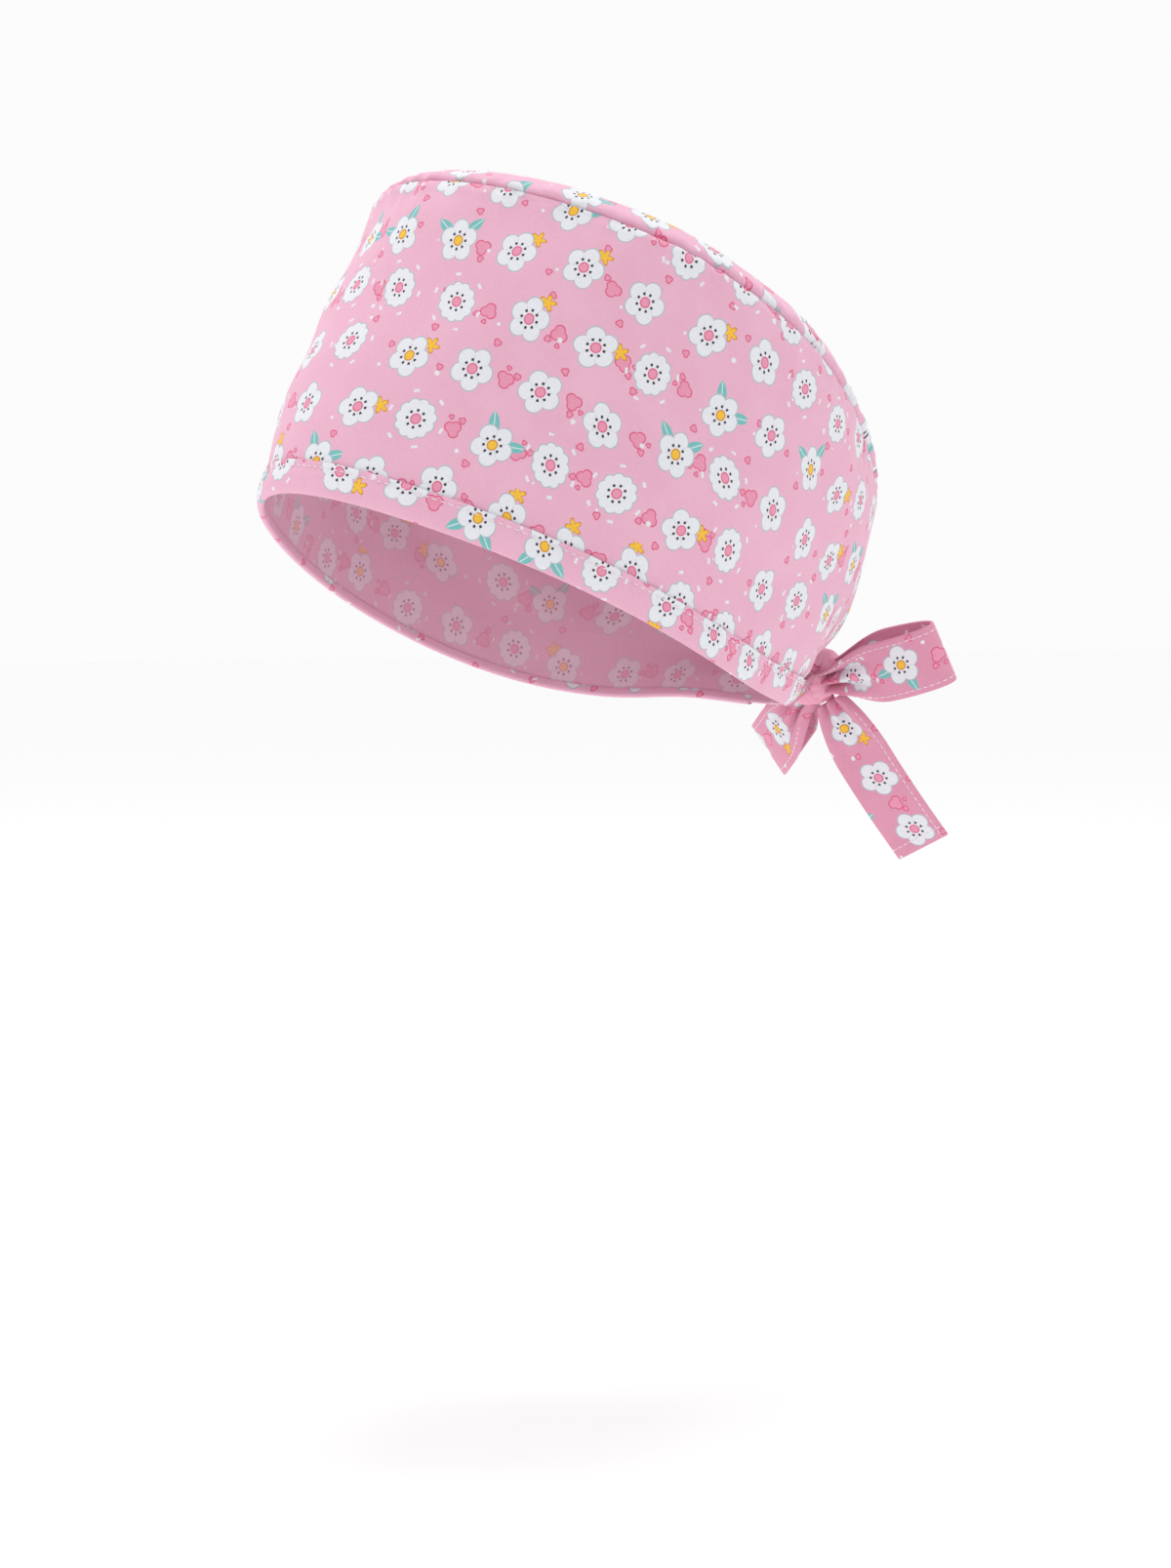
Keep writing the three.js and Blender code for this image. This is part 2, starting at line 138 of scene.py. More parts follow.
def unit(vectors):
    """Vectors divided by their length."""
    return vectors / np.maximum(np.linalg.norm(vectors, axis=-1, keepdims=True), 1e-12)


def band_normal(angle, share):
    """Outward normal: the change with the angle crossed with the change with the share."""
    step = 1e-4
    low, high = np.clip(share - step, 0, 1), np.clip(share + step, 0, 1)
    turn = band_surface(angle + step, share) - band_surface(angle - step, share)
    return unit(np.cross(turn, band_surface(angle, high) - band_surface(angle, low)))


def lengths_up(points):
    """Length of cloth from the first column to each column of a grid."""
    pieces = np.linalg.norm(np.diff(points, axis=1), axis=-1)
    return np.concatenate([np.zeros((len(points), 1)), np.cumsum(pieces, axis=1)], axis=1)


def lengths_along(line):
    """Length along a line of points, from its first point to each point."""
    return np.concatenate([[0], np.cumsum(np.linalg.norm(np.diff(line, axis=0), axis=-1))])


def pucker(place):
    """Uneven small waves along a seam: sine waves whose phase and height wander over 37 and 53 mm."""
    wander = 1.3 * np.sin(TURN * place / (37 * MM))
    height = 0.65 + 0.35 * np.sin(TURN * place / (53 * MM) + 1)
    return np.sin(TURN * place / PUCKER_LENGTH + wander) * height


def seam_puckers(place, away, shift=0.0):
    """Coarse and fine puckers along a seam, fading with the distance from it. shift moves the fine ones."""
    coarse = COARSE_PUCKER * pucker(place) * np.exp(-((away / COARSE_REACH) ** PUCKER_FADE))
    return coarse + FINE_PUCKER * pucker(FINE_CROWDING * place + shift) * np.exp(
        -((away / FINE_REACH) ** PUCKER_FADE))


def free_of_seam(away):
    """0 on the seam's line, where the stitches hold the cloth, and 1 from about two millimetres on."""
    return 1 - np.exp(-((away / SEAM_HOLD) ** 2))


def seam_roll(away, radius):
    """The cloth beside a seam, by the distance from its line: a quarter round that is turned in by
    SEAM_DEPTH at the line and ends at the radius, and a low bell-shaped swell outside it."""
    inside = 1 - np.clip(away / radius, 0, 1)
    turned = 1 - np.sqrt(np.maximum(1 - inside**2, 0))
    return SWELL_HEIGHT * np.exp(-(((away - SWELL_PLACE) / SWELL_WIDTH) ** 2)) - SEAM_DEPTH * turned


def soft_dents(place, height):
    """Broad shallow hollows of loose cloth: three waves of 60 to 130 mm whose phase wanders up the cloth."""
    return sum(
        depth * MM * np.sin(TURN * place / (length * MM) + phase + 2 * np.sin(TURN * height / (wander * MM)))
        for depth, length, wander, phase in SOFT_DENTS)


def knot_folds(place, height):
    """Folds that run out from the knot: nine waves round it, which fade with the distance."""
    away = np.hypot(place, height - FOLD_CENTRE)
    direction = np.arctan2(height - FOLD_CENTRE, np.abs(place))
    fade = np.exp(-((away / FOLD_REACH) ** 1.6)) * away / (away + FOLD_START)
    return FOLD_HEIGHT * fade * np.cos(9 * direction + 0.6 * np.sign(place))


def add_object(name, data):
    """Puts a mesh, a light or a camera into the scene."""
    added = bpy.data.objects.new(name, data)
    bpy.context.scene.collection.objects.link(added)
    return added


def cloth_object(name, points, flat, wrap=False):
    """A mesh of quads over a grid of points. wrap joins the last row to the first. flat is each point's place
    on the uncut cloth in metres, kept as the UV map, with one more row than points where the grid wraps."""
    rows, columns = points.shape[:2]
    i = np.arange(rows if wrap else rows - 1)[:, None]
    j = np.arange(columns - 1)[None]
    here, there = i * columns + j, ((i + 1) % rows) * columns + j
    quads = np.stack([here, there, there + 1, here + 1], axis=-1).reshape(-1, 4)
    mesh = bpy.data.meshes.new(name)
    mesh.from_pydata(points.reshape(-1, 3).tolist(), [], quads.tolist())
    corners = np.stack([flat[i, j], flat[i + 1, j], flat[i + 1, j + 1], flat[i, j + 1]], axis=2)
    mesh.uv_layers.new(name="cloth").data.foreach_set("uv", corners.reshape(-1).astype(np.float32))
    mesh.polygons.foreach_set("use_smooth", np.ones(len(quads), dtype=bool))
    mesh.update()
    return add_object(name, mesh)


def thicken(piece, thickness, offset=-1.0):
    """Gives a sheet its thickness; the inner face takes the second material."""
    wall = piece.modifiers.new("thickness", "SOLIDIFY")
    wall.thickness = thickness
    wall.offset = offset
    wall.material_offset = 1
    wall.use_even_offset = True
    return wall


def linear(red, green, blue):
    """A screen colour of 0 to 255 as the linear colour that a shader takes."""
    channels = np.array([red, green, blue]) / 255
    values = np.where(channels <= 0.04045, channels / 12.92, ((channels + 0.055) / 1.055) ** 2.4)
    return (*values.tolist(), 1.0)


# The printed cotton: a pink ground with a floral print whose repeat is a brick of cells
CAP_GROUND = linear(228, 178, 199), linear(221, 165, 188)      # its two shades
# the strap's ground: the same cotton as the cap, made a darker and deeper pink as painted shade of the bow's
# folds
TIE_GROUND_PAINTED_SHADE = linear(220, 154, 178), linear(210, 140, 165)
KNOT_GROUND = linear(236, 174, 196), linear(228, 160, 184)
PRINT_WHITE = linear(222, 223, 228)
PRINT_GREY = linear(172, 182, 190)
PRINT_DEEP_PINK = linear(212, 86, 124)
PRINT_ROSE = linear(224, 146, 172)
PRINT_YELLOW = linear(236, 186, 62)
PRINT_ORANGE = linear(196, 126, 44)
PRINT_TEAL = linear(116, 184, 182)
PRINT_DARK = linear(58, 46, 62)
WRONG_SIDE = linear(226, 176, 196)
# Lengths on the print are in mm. A place is in the cell, across and up from its middle.
PRINT_CELL = (22.0, 20.0)       # across and up
BUD_RADIUS = 2.9
SMALL_BUDS = (((3.7, -1.4), 1.25, 0.15), ((3.1, 2.1), 0.95, 0.5))    # place, radius, chance of none
BLOSSOM_RADIUS = 6.5
HEART_RADIUS = 1.6
STAMEN_RING, DOT_RING = 2.5, BLOSSOM_RADIUS + 1.8
LEAF_PAIR = (((4.6, 5.2), 0.8), ((-5.0, 4.6), 2.4))    # place and turn
STAR_PLACE, STAR_RADIUS = (3.4, 7.0), 2.9
LEAFY, STARRY, MANY_PETALS = 0.24, 0.42, 0.76    # leaves below the first chance, stars up to the second
THREAD_PITCH = 0.46


def printed_cotton(name, fade=0.0, ground=CAP_GROUND, blossoms=True):
    """Plain-woven cotton with the print. fade is how far the wrong side has paled: 0 is the right side.
    Without blossoms it is the cloth between them, with its buds and dots alone."""
    material = bpy.data.materials.new(name)
    material.use_nodes = True
    nodes, links = material.node_tree.nodes, material.node_tree.links
    shader = nodes["Principled BSDF"]

    def feed(socket, value):
        if isinstance(value, bpy.types.NodeSocket):
            links.new(value, socket)
        else:
            socket.default_value = value

    def calc(operation, *values):
        node = nodes.new("ShaderNodeMath")
        node.operation = operation
        for socket, value in zip(node.inputs, values):
            feed(socket, value)
        return node.outputs[0]

    def inside(distance, edge=0.12):
        """1 where the distance in mm is below 0, with a soft edge."""
        node = nodes.new("ShaderNodeMapRange")
        feed(node.inputs["Value"], distance)
        node.inputs["From Min"].default_value = edge
        node.inputs["From Max"].default_value = -edge
        return node.outputs["Result"]

    def both(first, second):
        return calc("MULTIPLY", first, second)

    def over(colour, ink, mask):
        """Prints an ink over the colour where the mask is 1."""
        node = nodes.new("ShaderNodeMix")
        node.data_type = "RGBA"
        feed(node.inputs["Factor"], mask)
        feed(node.inputs["A"], colour)
        feed(node.inputs["B"], ink)
        return node.outputs["Result"]

    place = nodes.new("ShaderNodeUVMap")
    place.uv_map = "cloth"
    split = nodes.new("ShaderNodeSeparateXYZ")
    links.new(place.outputs[0], split.inputs[0])
    across = calc("MULTIPLY", split.outputs[0], 1 / MM)
    up = calc("MULTIPLY", split.outputs[1], 1 / MM)

    def cells(shift, jitter, turn, seed):
        """Splits the cloth into brick-laid cells. Gives the place in the cell in mm, moved and turned by
        chance, and two chance numbers that are the same all over one cell."""
        row_place = calc("ADD", calc("DIVIDE", up, PRINT_CELL[1]), shift[1])
        row = calc("FLOOR", row_place)
        brick = calc("MULTIPLY", calc("FLOORED_MODULO", row, 2.0), 0.5)
        column_place = calc("ADD", calc("ADD", calc("DIVIDE", across, PRINT_CELL[0]), shift[0]), brick)
        column = calc("FLOOR", column_place)
        key = nodes.new("ShaderNodeCombineXYZ")
        feed(key.inputs[0], column)
        feed(key.inputs[1], row)
        key.inputs[2].default_value = seed
        chance = nodes.new("ShaderNodeTexWhiteNoise")
        links.new(key.outputs[0], chance.inputs["Vector"])
        spread = nodes.new("ShaderNodeSeparateColor")
        links.new(chance.outputs["Color"], spread.inputs[0])
        first, second, third = spread.outputs
        x = calc("MULTIPLY", calc("SUBTRACT", calc("FRACT", column_place), 0.5), PRINT_CELL[0])
        y = calc("MULTIPLY", calc("SUBTRACT", calc("FRACT", row_place), 0.5), PRINT_CELL[1])
        x = calc("MULTIPLY_ADD", calc("SUBTRACT", first, 0.5), jitter, x)
        y = calc("MULTIPLY_ADD", calc("SUBTRACT", second, 0.5), jitter, y)
        angle = calc("MULTIPLY", calc("SUBTRACT", third, 0.5), turn)
        cosine, sine = calc("COSINE", angle), calc("SINE", angle)
        turned_x = calc("ADD", calc("MULTIPLY", x, cosine), calc("MULTIPLY", y, sine))
        turned_y = calc("SUBTRACT", calc("MULTIPLY", y, cosine), calc("MULTIPLY", x, sine))
        return turned_x, turned_y, chance.outputs["Value"], first

    def from_centre(x, y):
        return calc("SQRT", calc("ADD", calc("MULTIPLY", x, x), calc("MULTIPLY", y, y)))

    def petals(x, y, radius, count, base, sharpness):
        """Distance to a flower outline, from the centre and the swing: the radius swings between its share
        base and the whole with the size of a cosine of half the angle times count, to a power."""
        angle = calc("MULTIPLY", calc("ARCTAN2", x, y), count / 2)
        swing = calc("POWER", calc("ABSOLUTE", calc("COSINE", angle)), sharpness)
        edge = calc("MULTIPLY_ADD", swing, radius * (1 - base), radius * base)
        away = from_centre(x, y)
        return calc("SUBTRACT", away, edge), away, swing

    def leaf(x, y, centre, turn, half_length, half_width):
        """Distance to a pointed oval in the cell and to its midrib: the half width falls off as the square
        of the place along it."""
        x = calc("SUBTRACT", x, centre[0])
        y = calc("SUBTRACT", y, centre[1])
        along = calc("ADD", calc("MULTIPLY", x, math.cos(turn)), calc("MULTIPLY", y, math.sin(turn)))
        side = calc("SUBTRACT", calc("MULTIPLY", y, math.cos(turn)), calc("MULTIPLY", x, math.sin(turn)))
        bow = calc("POWER", calc("DIVIDE", along, half_length), 2.0)
        width = calc("MULTIPLY_ADD", bow, -half_width, half_width)
        return calc("SUBTRACT", calc("ABSOLUTE", side), width), side

    def inked(colour, ink, fill, distance, line, mask):
        """Prints a shape with an outline of its own ink and a filling inside it."""
        colour = over(colour, ink, both(mask, inside(distance)))
        return over(colour, fill, both(mask, inside(calc("ADD", distance, line))))

    # ground, with a faint unevenness of the dye
    mottle = nodes.new("ShaderNodeTexNoise")
    mottle.inputs["Scale"].default_value = 60
    mottle.inputs["Detail"].default_value = 3
    links.new(place.outputs[0], mottle.inputs["Vector"])
    colour = over(*ground, mottle.outputs[0])

    # groups of deep-pink buds, one large and two small, between the blossoms
    x, y, chance, other = cells((0.5, 0.0), 3.4, 6.0, 3)
    wide = calc("GREATER_THAN", chance, 0.35)
    colour = inked(colour, PRINT_DEEP_PINK, PRINT_ROSE, petals(x, y, BUD_RADIUS, 3, 0.66, 0.8)[0], 0.42, wide)
    for centre, radius, keep in SMALL_BUDS:
        bud_x, bud_y = calc("SUBTRACT", x, centre[0]), calc("SUBTRACT", y, centre[1])
        bud = petals(bud_x, bud_y, radius, 3, 0.7, 0.8)[0]
        colour = inked(colour, PRINT_DEEP_PINK, PRINT_ROSE, bud, 0.38, calc("GREATER_THAN", other, keep))
    x, y, chance, _ = cells((0.22, 0.47), 3.0, 6.0, 11)
    bud = petals(x, y, 1.4, 3, 0.68, 0.8)[0]
    colour = inked(colour, PRINT_DEEP_PINK, PRINT_ROSE, bud, 0.4, calc("GREATER_THAN", chance, 0.4))

    # small white dots
    x, y, chance, _ = cells((0.36, 0.2), 6.0, 6.0, 23)
    dot = calc("SUBTRACT", from_centre(x, y), calc("MULTIPLY_ADD", chance, 0.5, 0.35))
    colour = over(colour, PRINT_WHITE, inside(dot))

    def bloom(colour):
        """White blossoms with a grey outline: plain ones, ones with more petals and a ring of dots round
        them, and ones that carry a pair of teal leaves or a gold star."""
        x, y, chance, other = cells((0.0, 0.0), 4.2, 1.9, 47)
        leafy = calc("LESS_THAN", chance, LEAFY)
        for centre, turn in LEAF_PAIR:
            distance, side = leaf(x, y, centre, turn, 4.0, 1.7)
            colour = over(colour, PRINT_TEAL, both(leafy, inside(distance)))
            midrib = inside(calc("SUBTRACT", calc("ABSOLUTE", side), 0.14))
            colour = over(colour, PRINT_WHITE, both(leafy, both(midrib, inside(calc("ADD", distance, 0.4)))))
        starry = both(calc("GREATER_THAN", chance, LEAFY), calc("LESS_THAN", chance, STARRY))
        star_x, star_y = calc("SUBTRACT", x, STAR_PLACE[0]), calc("SUBTRACT", y, STAR_PLACE[1])
        distance = petals(star_x, star_y, STAR_RADIUS, 5, 0.45, 1.5)[0]
        colour = inked(colour, PRINT_ORANGE, PRINT_YELLOW, distance, 0.42, starry)

        many = calc("GREATER_THAN", chance, MANY_PETALS)
        tall = calc("MULTIPLY", y, 0.86)
        plain_edge, away, plain_swing = petals(x, tall, BLOSSOM_RADIUS, 5, 0.70, 0.7)
        full_edge = petals(x, tall, BLOSSOM_RADIUS * 0.96, 11, 0.88, 0.8)[0]
        distance = calc("ADD", plain_edge, both(many, calc("SUBTRACT", full_edge, plain_edge)))
        colour = inked(colour, PRINT_GREY, PRINT_WHITE, distance, 0.38, 1.0)
        crease = both(inside(calc("SUBTRACT", calc("MULTIPLY", plain_swing, away), 0.3)),
                      inside(calc("SUBTRACT", away, BLOSSOM_RADIUS * 0.6)))

        def dotted_ring(radius, half_width, count, gap):
            """A ring round the centre, cut into dots where a cosine of the angle times count is low."""
            ring = inside(calc("SUBTRACT", calc("ABSOLUTE", calc("SUBTRACT", away, radius)), half_width))
            wave = calc("COSINE", calc("MULTIPLY", calc("ARCTAN2", x, tall), count))
            return both(ring, calc("GREATER_THAN", wave, gap))

        colour = over(colour, PRINT_WHITE, both(many, dotted_ring(DOT_RING, 0.42, 6.0, 0.82)))
        colour = over(colour, PRINT_GREY, both(calc("SUBTRACT", 1.0, many), crease))
        colour = over(colour, PRINT_DARK, dotted_ring(STAMEN_RING, 0.4, 8.0, 0.35))
        pink_heart = calc("GREATER_THAN", other, 0.3)
        heart = over(PRINT_YELLOW, PRINT_ROSE, pink_heart)
        heart_ink = over(PRINT_ORANGE, PRINT_DEEP_PINK, pink_heart)
        return inked(colour, heart_ink, heart, calc("SUBTRACT", away, HEART_RADIUS), 0.35, 1.0)

    if blossoms:
        colour = bloom(colour)
    if fade:
        colour = over(colour, WRONG_SIDE, fade)

    # plain weave: crossed waves of the threads, with thick and thin places
    weave_x = calc("SINE", calc("MULTIPLY", across, TURN / THREAD_PITCH))
    weave_y = calc("SINE", calc("MULTIPLY", up, TURN / THREAD_PITCH))
    weave = calc("MULTIPLY", weave_x, weave_y)
    slub = nodes.new("ShaderNodeTexNoise")
    slub.inputs["Scale"].default_value = 900
    slub.inputs["Detail"].default_value = 2
    links.new(place.outputs[0], slub.inputs["Vector"])
    grain = calc("ADD", calc("MULTIPLY", weave, 0.5), slub.outputs[0])
    shade = calc("MULTIPLY_ADD", grain, 0.11, 0.93)
    tinted = nodes.new("ShaderNodeMix")
    tinted.data_type = "RGBA"
    tinted.blend_type = "MULTIPLY"
    tinted.inputs["Factor"].default_value = 1.0
    feed(tinted.inputs["A"], colour)
    grey = nodes.new("ShaderNodeCombineColor")
    for socket in grey.inputs:
        feed(socket, shade)
    feed(tinted.inputs["B"], grey.outputs[0])
    links.new(tinted.outputs["Result"], shader.inputs["Base Color"])

    # fine creases of washed cotton, and the weave, as relief in metres
    creases = nodes.new("ShaderNodeTexNoise")
    creases.inputs["Scale"].default_value = 75
    creases.inputs["Detail"].default_value = 4
    creases.inputs["Roughness"].default_value = 0.55
    links.new(place.outputs[0], creases.inputs["Vector"])
    relief = calc("ADD", calc("MULTIPLY", creases.outputs[0], 0.7 * MM), calc("MULTIPLY", grain, 0.05 * MM))
    bump = nodes.new("ShaderNodeBump")
    bump.inputs["Strength"].default_value = 0.55
    bump.inputs["Distance"].default_value = 1.0
    feed(bump.inputs["Height"], relief)
    links.new(bump.outputs[0], shader.inputs["Normal"])
    shader.inputs["Roughness"].default_value = 0.82
    shader.inputs["Specular IOR Level"].default_value = 0.25
    shader.inputs["Sheen Weight"].default_value = 0.12
    shader.inputs["Sheen Roughness"].default_value = 0.5
    return material


right_side = printed_cotton("printed cotton, right side")
wrong_side = printed_cotton("printed cotton, wrong side", fade=0.55)


def finish_cloth(piece, nodes, slot, flat, held, faces=(right_side, wrong_side), **facts):
    """Gives a piece its two faces of cloth and its place in the frame. Its cut size, flat, is not used."""
    for face in faces:
        piece.data.materials.append(face)
    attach(piece, "root")
    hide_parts(*nodes)


band_angle = np.linspace(-BACK, BACK, BAND_AROUND + 1)
band_share = 1 - np.linspace(1, 0, BAND_UP + 1) ** BAND_CROWDING
band_middle = band_surface(band_angle[:, None], band_share[None])
band_height = lengths_up(band_middle)
band_round = lengths_along(band_middle[:, BAND_UP // 2])
band_place = (band_round - band_round[BAND_AROUND // 2])[:, None] + 0 * band_height
below_seam = band_height[:, -1:] - band_height
from_knot = (band_round[-1] / 2 - np.abs(band_place)) * np.sign(band_place)
above_cuff = band_height - CUFF_COVER
band_relief = soft_dents(band_place, band_height) * np.clip(above_cuff / DENT_START, 0, 1)
band_relief += knot_folds(from_knot, band_height) * np.clip(above_cuff / FOLD_FADE_IN, 0, 1)
band_relief += seam_puckers(band_place, below_seam)
band_relief *= free_of_seam(below_seam)
band_relief += seam_roll(below_seam, BAND_ROLL)
band_points = band_middle + band_normal(band_angle[:, None], band_share[None]) * (
    CLOTH_WALL / 2 + band_relief)[..., None]
band_uv = np.stack([band_place, band_height], axis=-1)
side_band = cloth_object("band_cloth", band_points[:-1], band_uv, wrap=True)
thicken(side_band, COTTON_THICKNESS)
finish_cloth(side_band, ["side_band"], "cap_cloth", (0.60, 0.122), "stretched", area=0.061)

# Crown panel
# The oval of the same cotton that closes the top, sewn right sides together to the band's upper
# edge and turned out. It stands a little proud in the middle and is puckered by the seam.
CROWN_RISE = 12.4 * MM          # height of the crown's middle over its seam
CROWN_POWER = 10.5              # how full the crown stands at its seam and how flat its middle is
CROWN_EASE = 1.6 * MM           # its added fullness by the seam at the back, none at the front
EASE_REACH = 30 * MM
CROWN_ROLL = 1.6 * MM           # radius at which the crown turns into the seam
RIM_REACH = 0.6 * MM            # over which the crown's edge leaves the band's
CROWN_DENTS, DENTS_IN = 0.8, 25 * MM    # share of the band's hollows, and where they are full
CROWN_STEPS = 72
CROWN_CROWDING = 1.5            # rows crowd toward the seam by this power of their place
CROWN_PRINT_SHIFT = (0.013, 0.008)
CROWN_PRINT_STRETCH = (1.0, 1.1)    # the crown's slope, taken up in its flat length


def crown_surface(angle, share):
    """Middle of the crown's wall: the seam's outline shrunk to the centre under a dome with a flat top, whose
    height falls off as a power of the share."""
    seam_z = around("seam_height", angle) * SEAM_HEIGHT
    reach = around("seam_reach", angle) * share
    mean_z = np.mean(around("seam_height", np.linspace(0, TURN, 64, endpoint=False))) * SEAM_HEIGHT
    z = seam_z * share + mean_z * (1 - share) + CROWN_RISE * (1 - share**CROWN_POWER)
    return tilted(reach * np.sin(angle) * HEAD_HALF_WIDTH, -reach * np.cos(angle) * HEAD_HALF_LENGTH, z)


def crown_normal(angle, share):
    """Upward normal: the change round the rim crossed with the change toward the centre."""
    share = np.maximum(share, 0.02)
    step = 1e-4
    turn = crown_surface(angle + step, share) - crown_surface(angle - step, share)
    return unit(np.cross(turn, crown_surface(angle, share - step) - crown_surface(angle, share)))


crown_angle = band_angle[:-1, None]
crown_share = 1 - np.linspace(0, 1, CROWN_STEPS + 1)[None] ** CROWN_CROWDING
crown_middle = crown_surface(crown_angle, crown_share)
crown_in = lengths_up(crown_middle)
crown_flat = crown_middle[..., :2] * CROWN_PRINT_STRETCH + CROWN_PRINT_SHIFT
crown_relief = seam_puckers(band_place[:-1, -1:], crown_in, shift=4 * MM)
crown_dents = soft_dents(crown_flat[..., 0], crown_flat[..., 1])
crown_relief += CROWN_DENTS * crown_dents * np.minimum(1, crown_in / DENTS_IN)
toward_back = (1 - np.cos(crown_angle)) / 2
crown_relief += CROWN_EASE * toward_back * np.exp(-((crown_in / EASE_REACH) ** 2))
crown_relief *= free_of_seam(crown_in)
crown_relief += seam_roll(crown_in, CROWN_ROLL)
crown_out = crown_normal(crown_angle, crown_share)
crown_face = crown_middle + crown_out * (CLOTH_WALL / 2 + crown_relief)[..., None]
# the rim starts on the band's own upper edge and blends to the crown's outer face
rim_blend = np.exp(-((crown_in / RIM_REACH) ** 2))[..., None]
crown_rim = band_points[:-1, -1:] + crown_middle - crown_middle[:, :1]
crown_points = crown_face * (1 - rim_blend) + crown_rim * rim_blend
crown_uv = np.concatenate([crown_flat, crown_flat[:1]])
crown_panel = cloth_object("crown_cloth", crown_points, crown_uv, wrap=True)


def close_poles(piece):
    """Merges the points that meet at a pole, so that the surface is closed there."""
    work = bmesh.new()
    work.from_mesh(piece.data)
    bmesh.ops.remove_doubles(work, verts=work.verts, dist=0.002 * MM)
    work.to_mesh(piece.data)
    work.free()


close_poles(crown_panel)
thicken(crown_panel, COTTON_THICKNESS)
finish_cloth(crown_panel, ["crown_panel"], "cap_cloth", (0.170, 0.210), "stretched", area=0.027)

# Hem cuff
# The band's lower edge is turned up on the outside, its raw edge folded under and topstitched
# with pale thread. It is the casing that the strap runs in, open at the centre back.
CUFF_MOUTH = 10 * MM            # half the opening in the cuff at the centre back
CUFF_AROUND = 420
HEM_GRID, HEM_SHARE = 90, 0.35  # rows of points that measure the band's lowest third
CUFF_PROFILE = np.array([       # mm of cloth up the band and mm out of its middle, along the fold
    (2.4, -0.50), (0.8, -0.55), (-0.3, -0.35), (-0.8, 0.45), (-0.5, 1.45), (0.8, 1.95), (3.0, 2.25),
    (5.4, 2.25), (7.2, 1.75), (8.15, 1.40), (9.0, 1.65), (9.7, 1.70), (10.05, 1.40), (9.8, 1.05),
    (9.0, 0.95)])
CUFF_THICKNESS = 0.35 * MM
CUFF_PRINT_START = 3 * MM       # the print's height at the cuff's inner edge
TURN_IN_PULL, TURN_IN_PLACE, TURN_IN_WIDTH = 0.16 * MM, 8.2 * MM, 2.2 * MM    # puckers by the stitches
EDGE_WANDER = 0.25 * MM         # of the cuff's folded edge
MOUTH_BULGE, MOUTH_REACH = 0.5 * MM, 0.05    # where the strap leaves, over this angle round the head


def rounded(line, rounds=2):
    """Cuts the corners of a line of points again and again, each a quarter of the way along."""
    for _ in range(rounds):
        near, far = 0.75 * line[:-1] + 0.25 * line[1:], 0.25 * line[:-1] + 0.75 * line[1:]
        line = np.concatenate([line[:1], np.stack([near, far], axis=1).reshape(-1, line.shape[1]), line[-1:]])
    return line


def near_band(angle, rise, out):
    """Points by the lower band: rise is the cloth's length above the hem, below it straight on, and out is
    the distance from the band's middle. angle is a column, rise and out are numbers, rows or grids."""
    shares = np.linspace(0, HEM_SHARE, HEM_GRID)[None]
    lengths = lengths_up(band_surface(angle, shares))
    rise, out = rise + 0 * angle, out + 0 * angle
    step = np.clip((lengths[:, None, :] <= np.maximum(rise, 0)[..., None]).sum(-1) - 1, 0, HEM_GRID - 2)
    low, high = (np.take_along_axis(lengths, step + k, axis=1) for k in (0, 1))
    share = (step + np.clip((rise - low) / (high - low), 0, 1)) * (HEM_SHARE / (HEM_GRID - 1))
    point, normal = band_surface(angle, share), band_normal(angle, share)
    down = unit(band_surface(angle, share + 1e-3) - band_surface(angle, share))
    return point + down * np.minimum(rise, 0)[..., None] + normal * out[..., None]


mouth_angle = CUFF_MOUTH / (SECTIONS["hem_reach"][-1] * HEAD_HALF_WIDTH)
cuff_angle = np.linspace(-BACK + mouth_angle, BACK - mouth_angle, CUFF_AROUND)[:, None]
cuff_line = rounded(CUFF_PROFILE * MM)
cuff_place = np.interp(cuff_angle[:, 0], band_angle, band_place[:, 0] * 0.97)[:, None]
profile_rise, profile_out = cuff_line[None, :, 0], cuff_line[None, :, 1]
stitch_bell = np.exp(-(((profile_rise - TURN_IN_PLACE) / TURN_IN_WIDTH) ** 2))
mouth_flare = np.exp(-((BACK - mouth_angle - np.abs(cuff_angle)) / MOUTH_REACH))
mouth_arch = np.sin(np.clip(profile_rise / (8 * MM), 0, 1) * math.pi)
cuff_wave = TURN_IN_PULL * pucker(cuff_place * 1.35) * stitch_bell + MOUTH_BULGE * mouth_flare * mouth_arch
# the waves stand on the cuff's outer layer, a millimetre or more out of the band's middle
cuff_out = profile_out + np.where(profile_out > 1.0 * MM, cuff_wave, 0)
cuff_rise = profile_rise + EDGE_WANDER * pucker(cuff_place * 0.8 + 0.01) * stitch_bell
cuff_points = near_band(cuff_angle, cuff_rise, cuff_out)
cuff_down = CUFF_PRINT_START - lengths_along(cuff_line)[None]
cuff_uv = np.stack([cuff_place + 0 * cuff_rise, cuff_down + 0 * cuff_rise], axis=-1)
hem_cuff = cloth_object("cuff_cloth", cuff_points, cuff_uv)
thicken(hem_cuff, CUFF_THICKNESS)
finish_cloth(hem_cuff, ["hem_cuff"], "cap_cloth", (0.018, 0.55), "folded", rests_on=["band_cloth"])

# Cuff stitching
# One row of pale lockstitch that holds the cuff's folded edge to the band, two millimetres
# below it all the way round, each stitch sunk a little in the cloth.
STITCH_PITCH = 2.7 * MM
STITCH_LENGTH = 2.0 * MM
STITCH_RADIUS = 0.2 * MM
STITCH_SINK = 0.1 * MM          # how far its two ends dip into the cloth
STITCH_SIDES, STITCH_RINGS = 6, 5
CUFF_STITCH_RISE, CUFF_STITCH_OUT = 8.15 * MM, 1.62 * MM
CUFF_STITCH_POINTS = 900
THREAD_WHITE = linear(236, 220, 228)


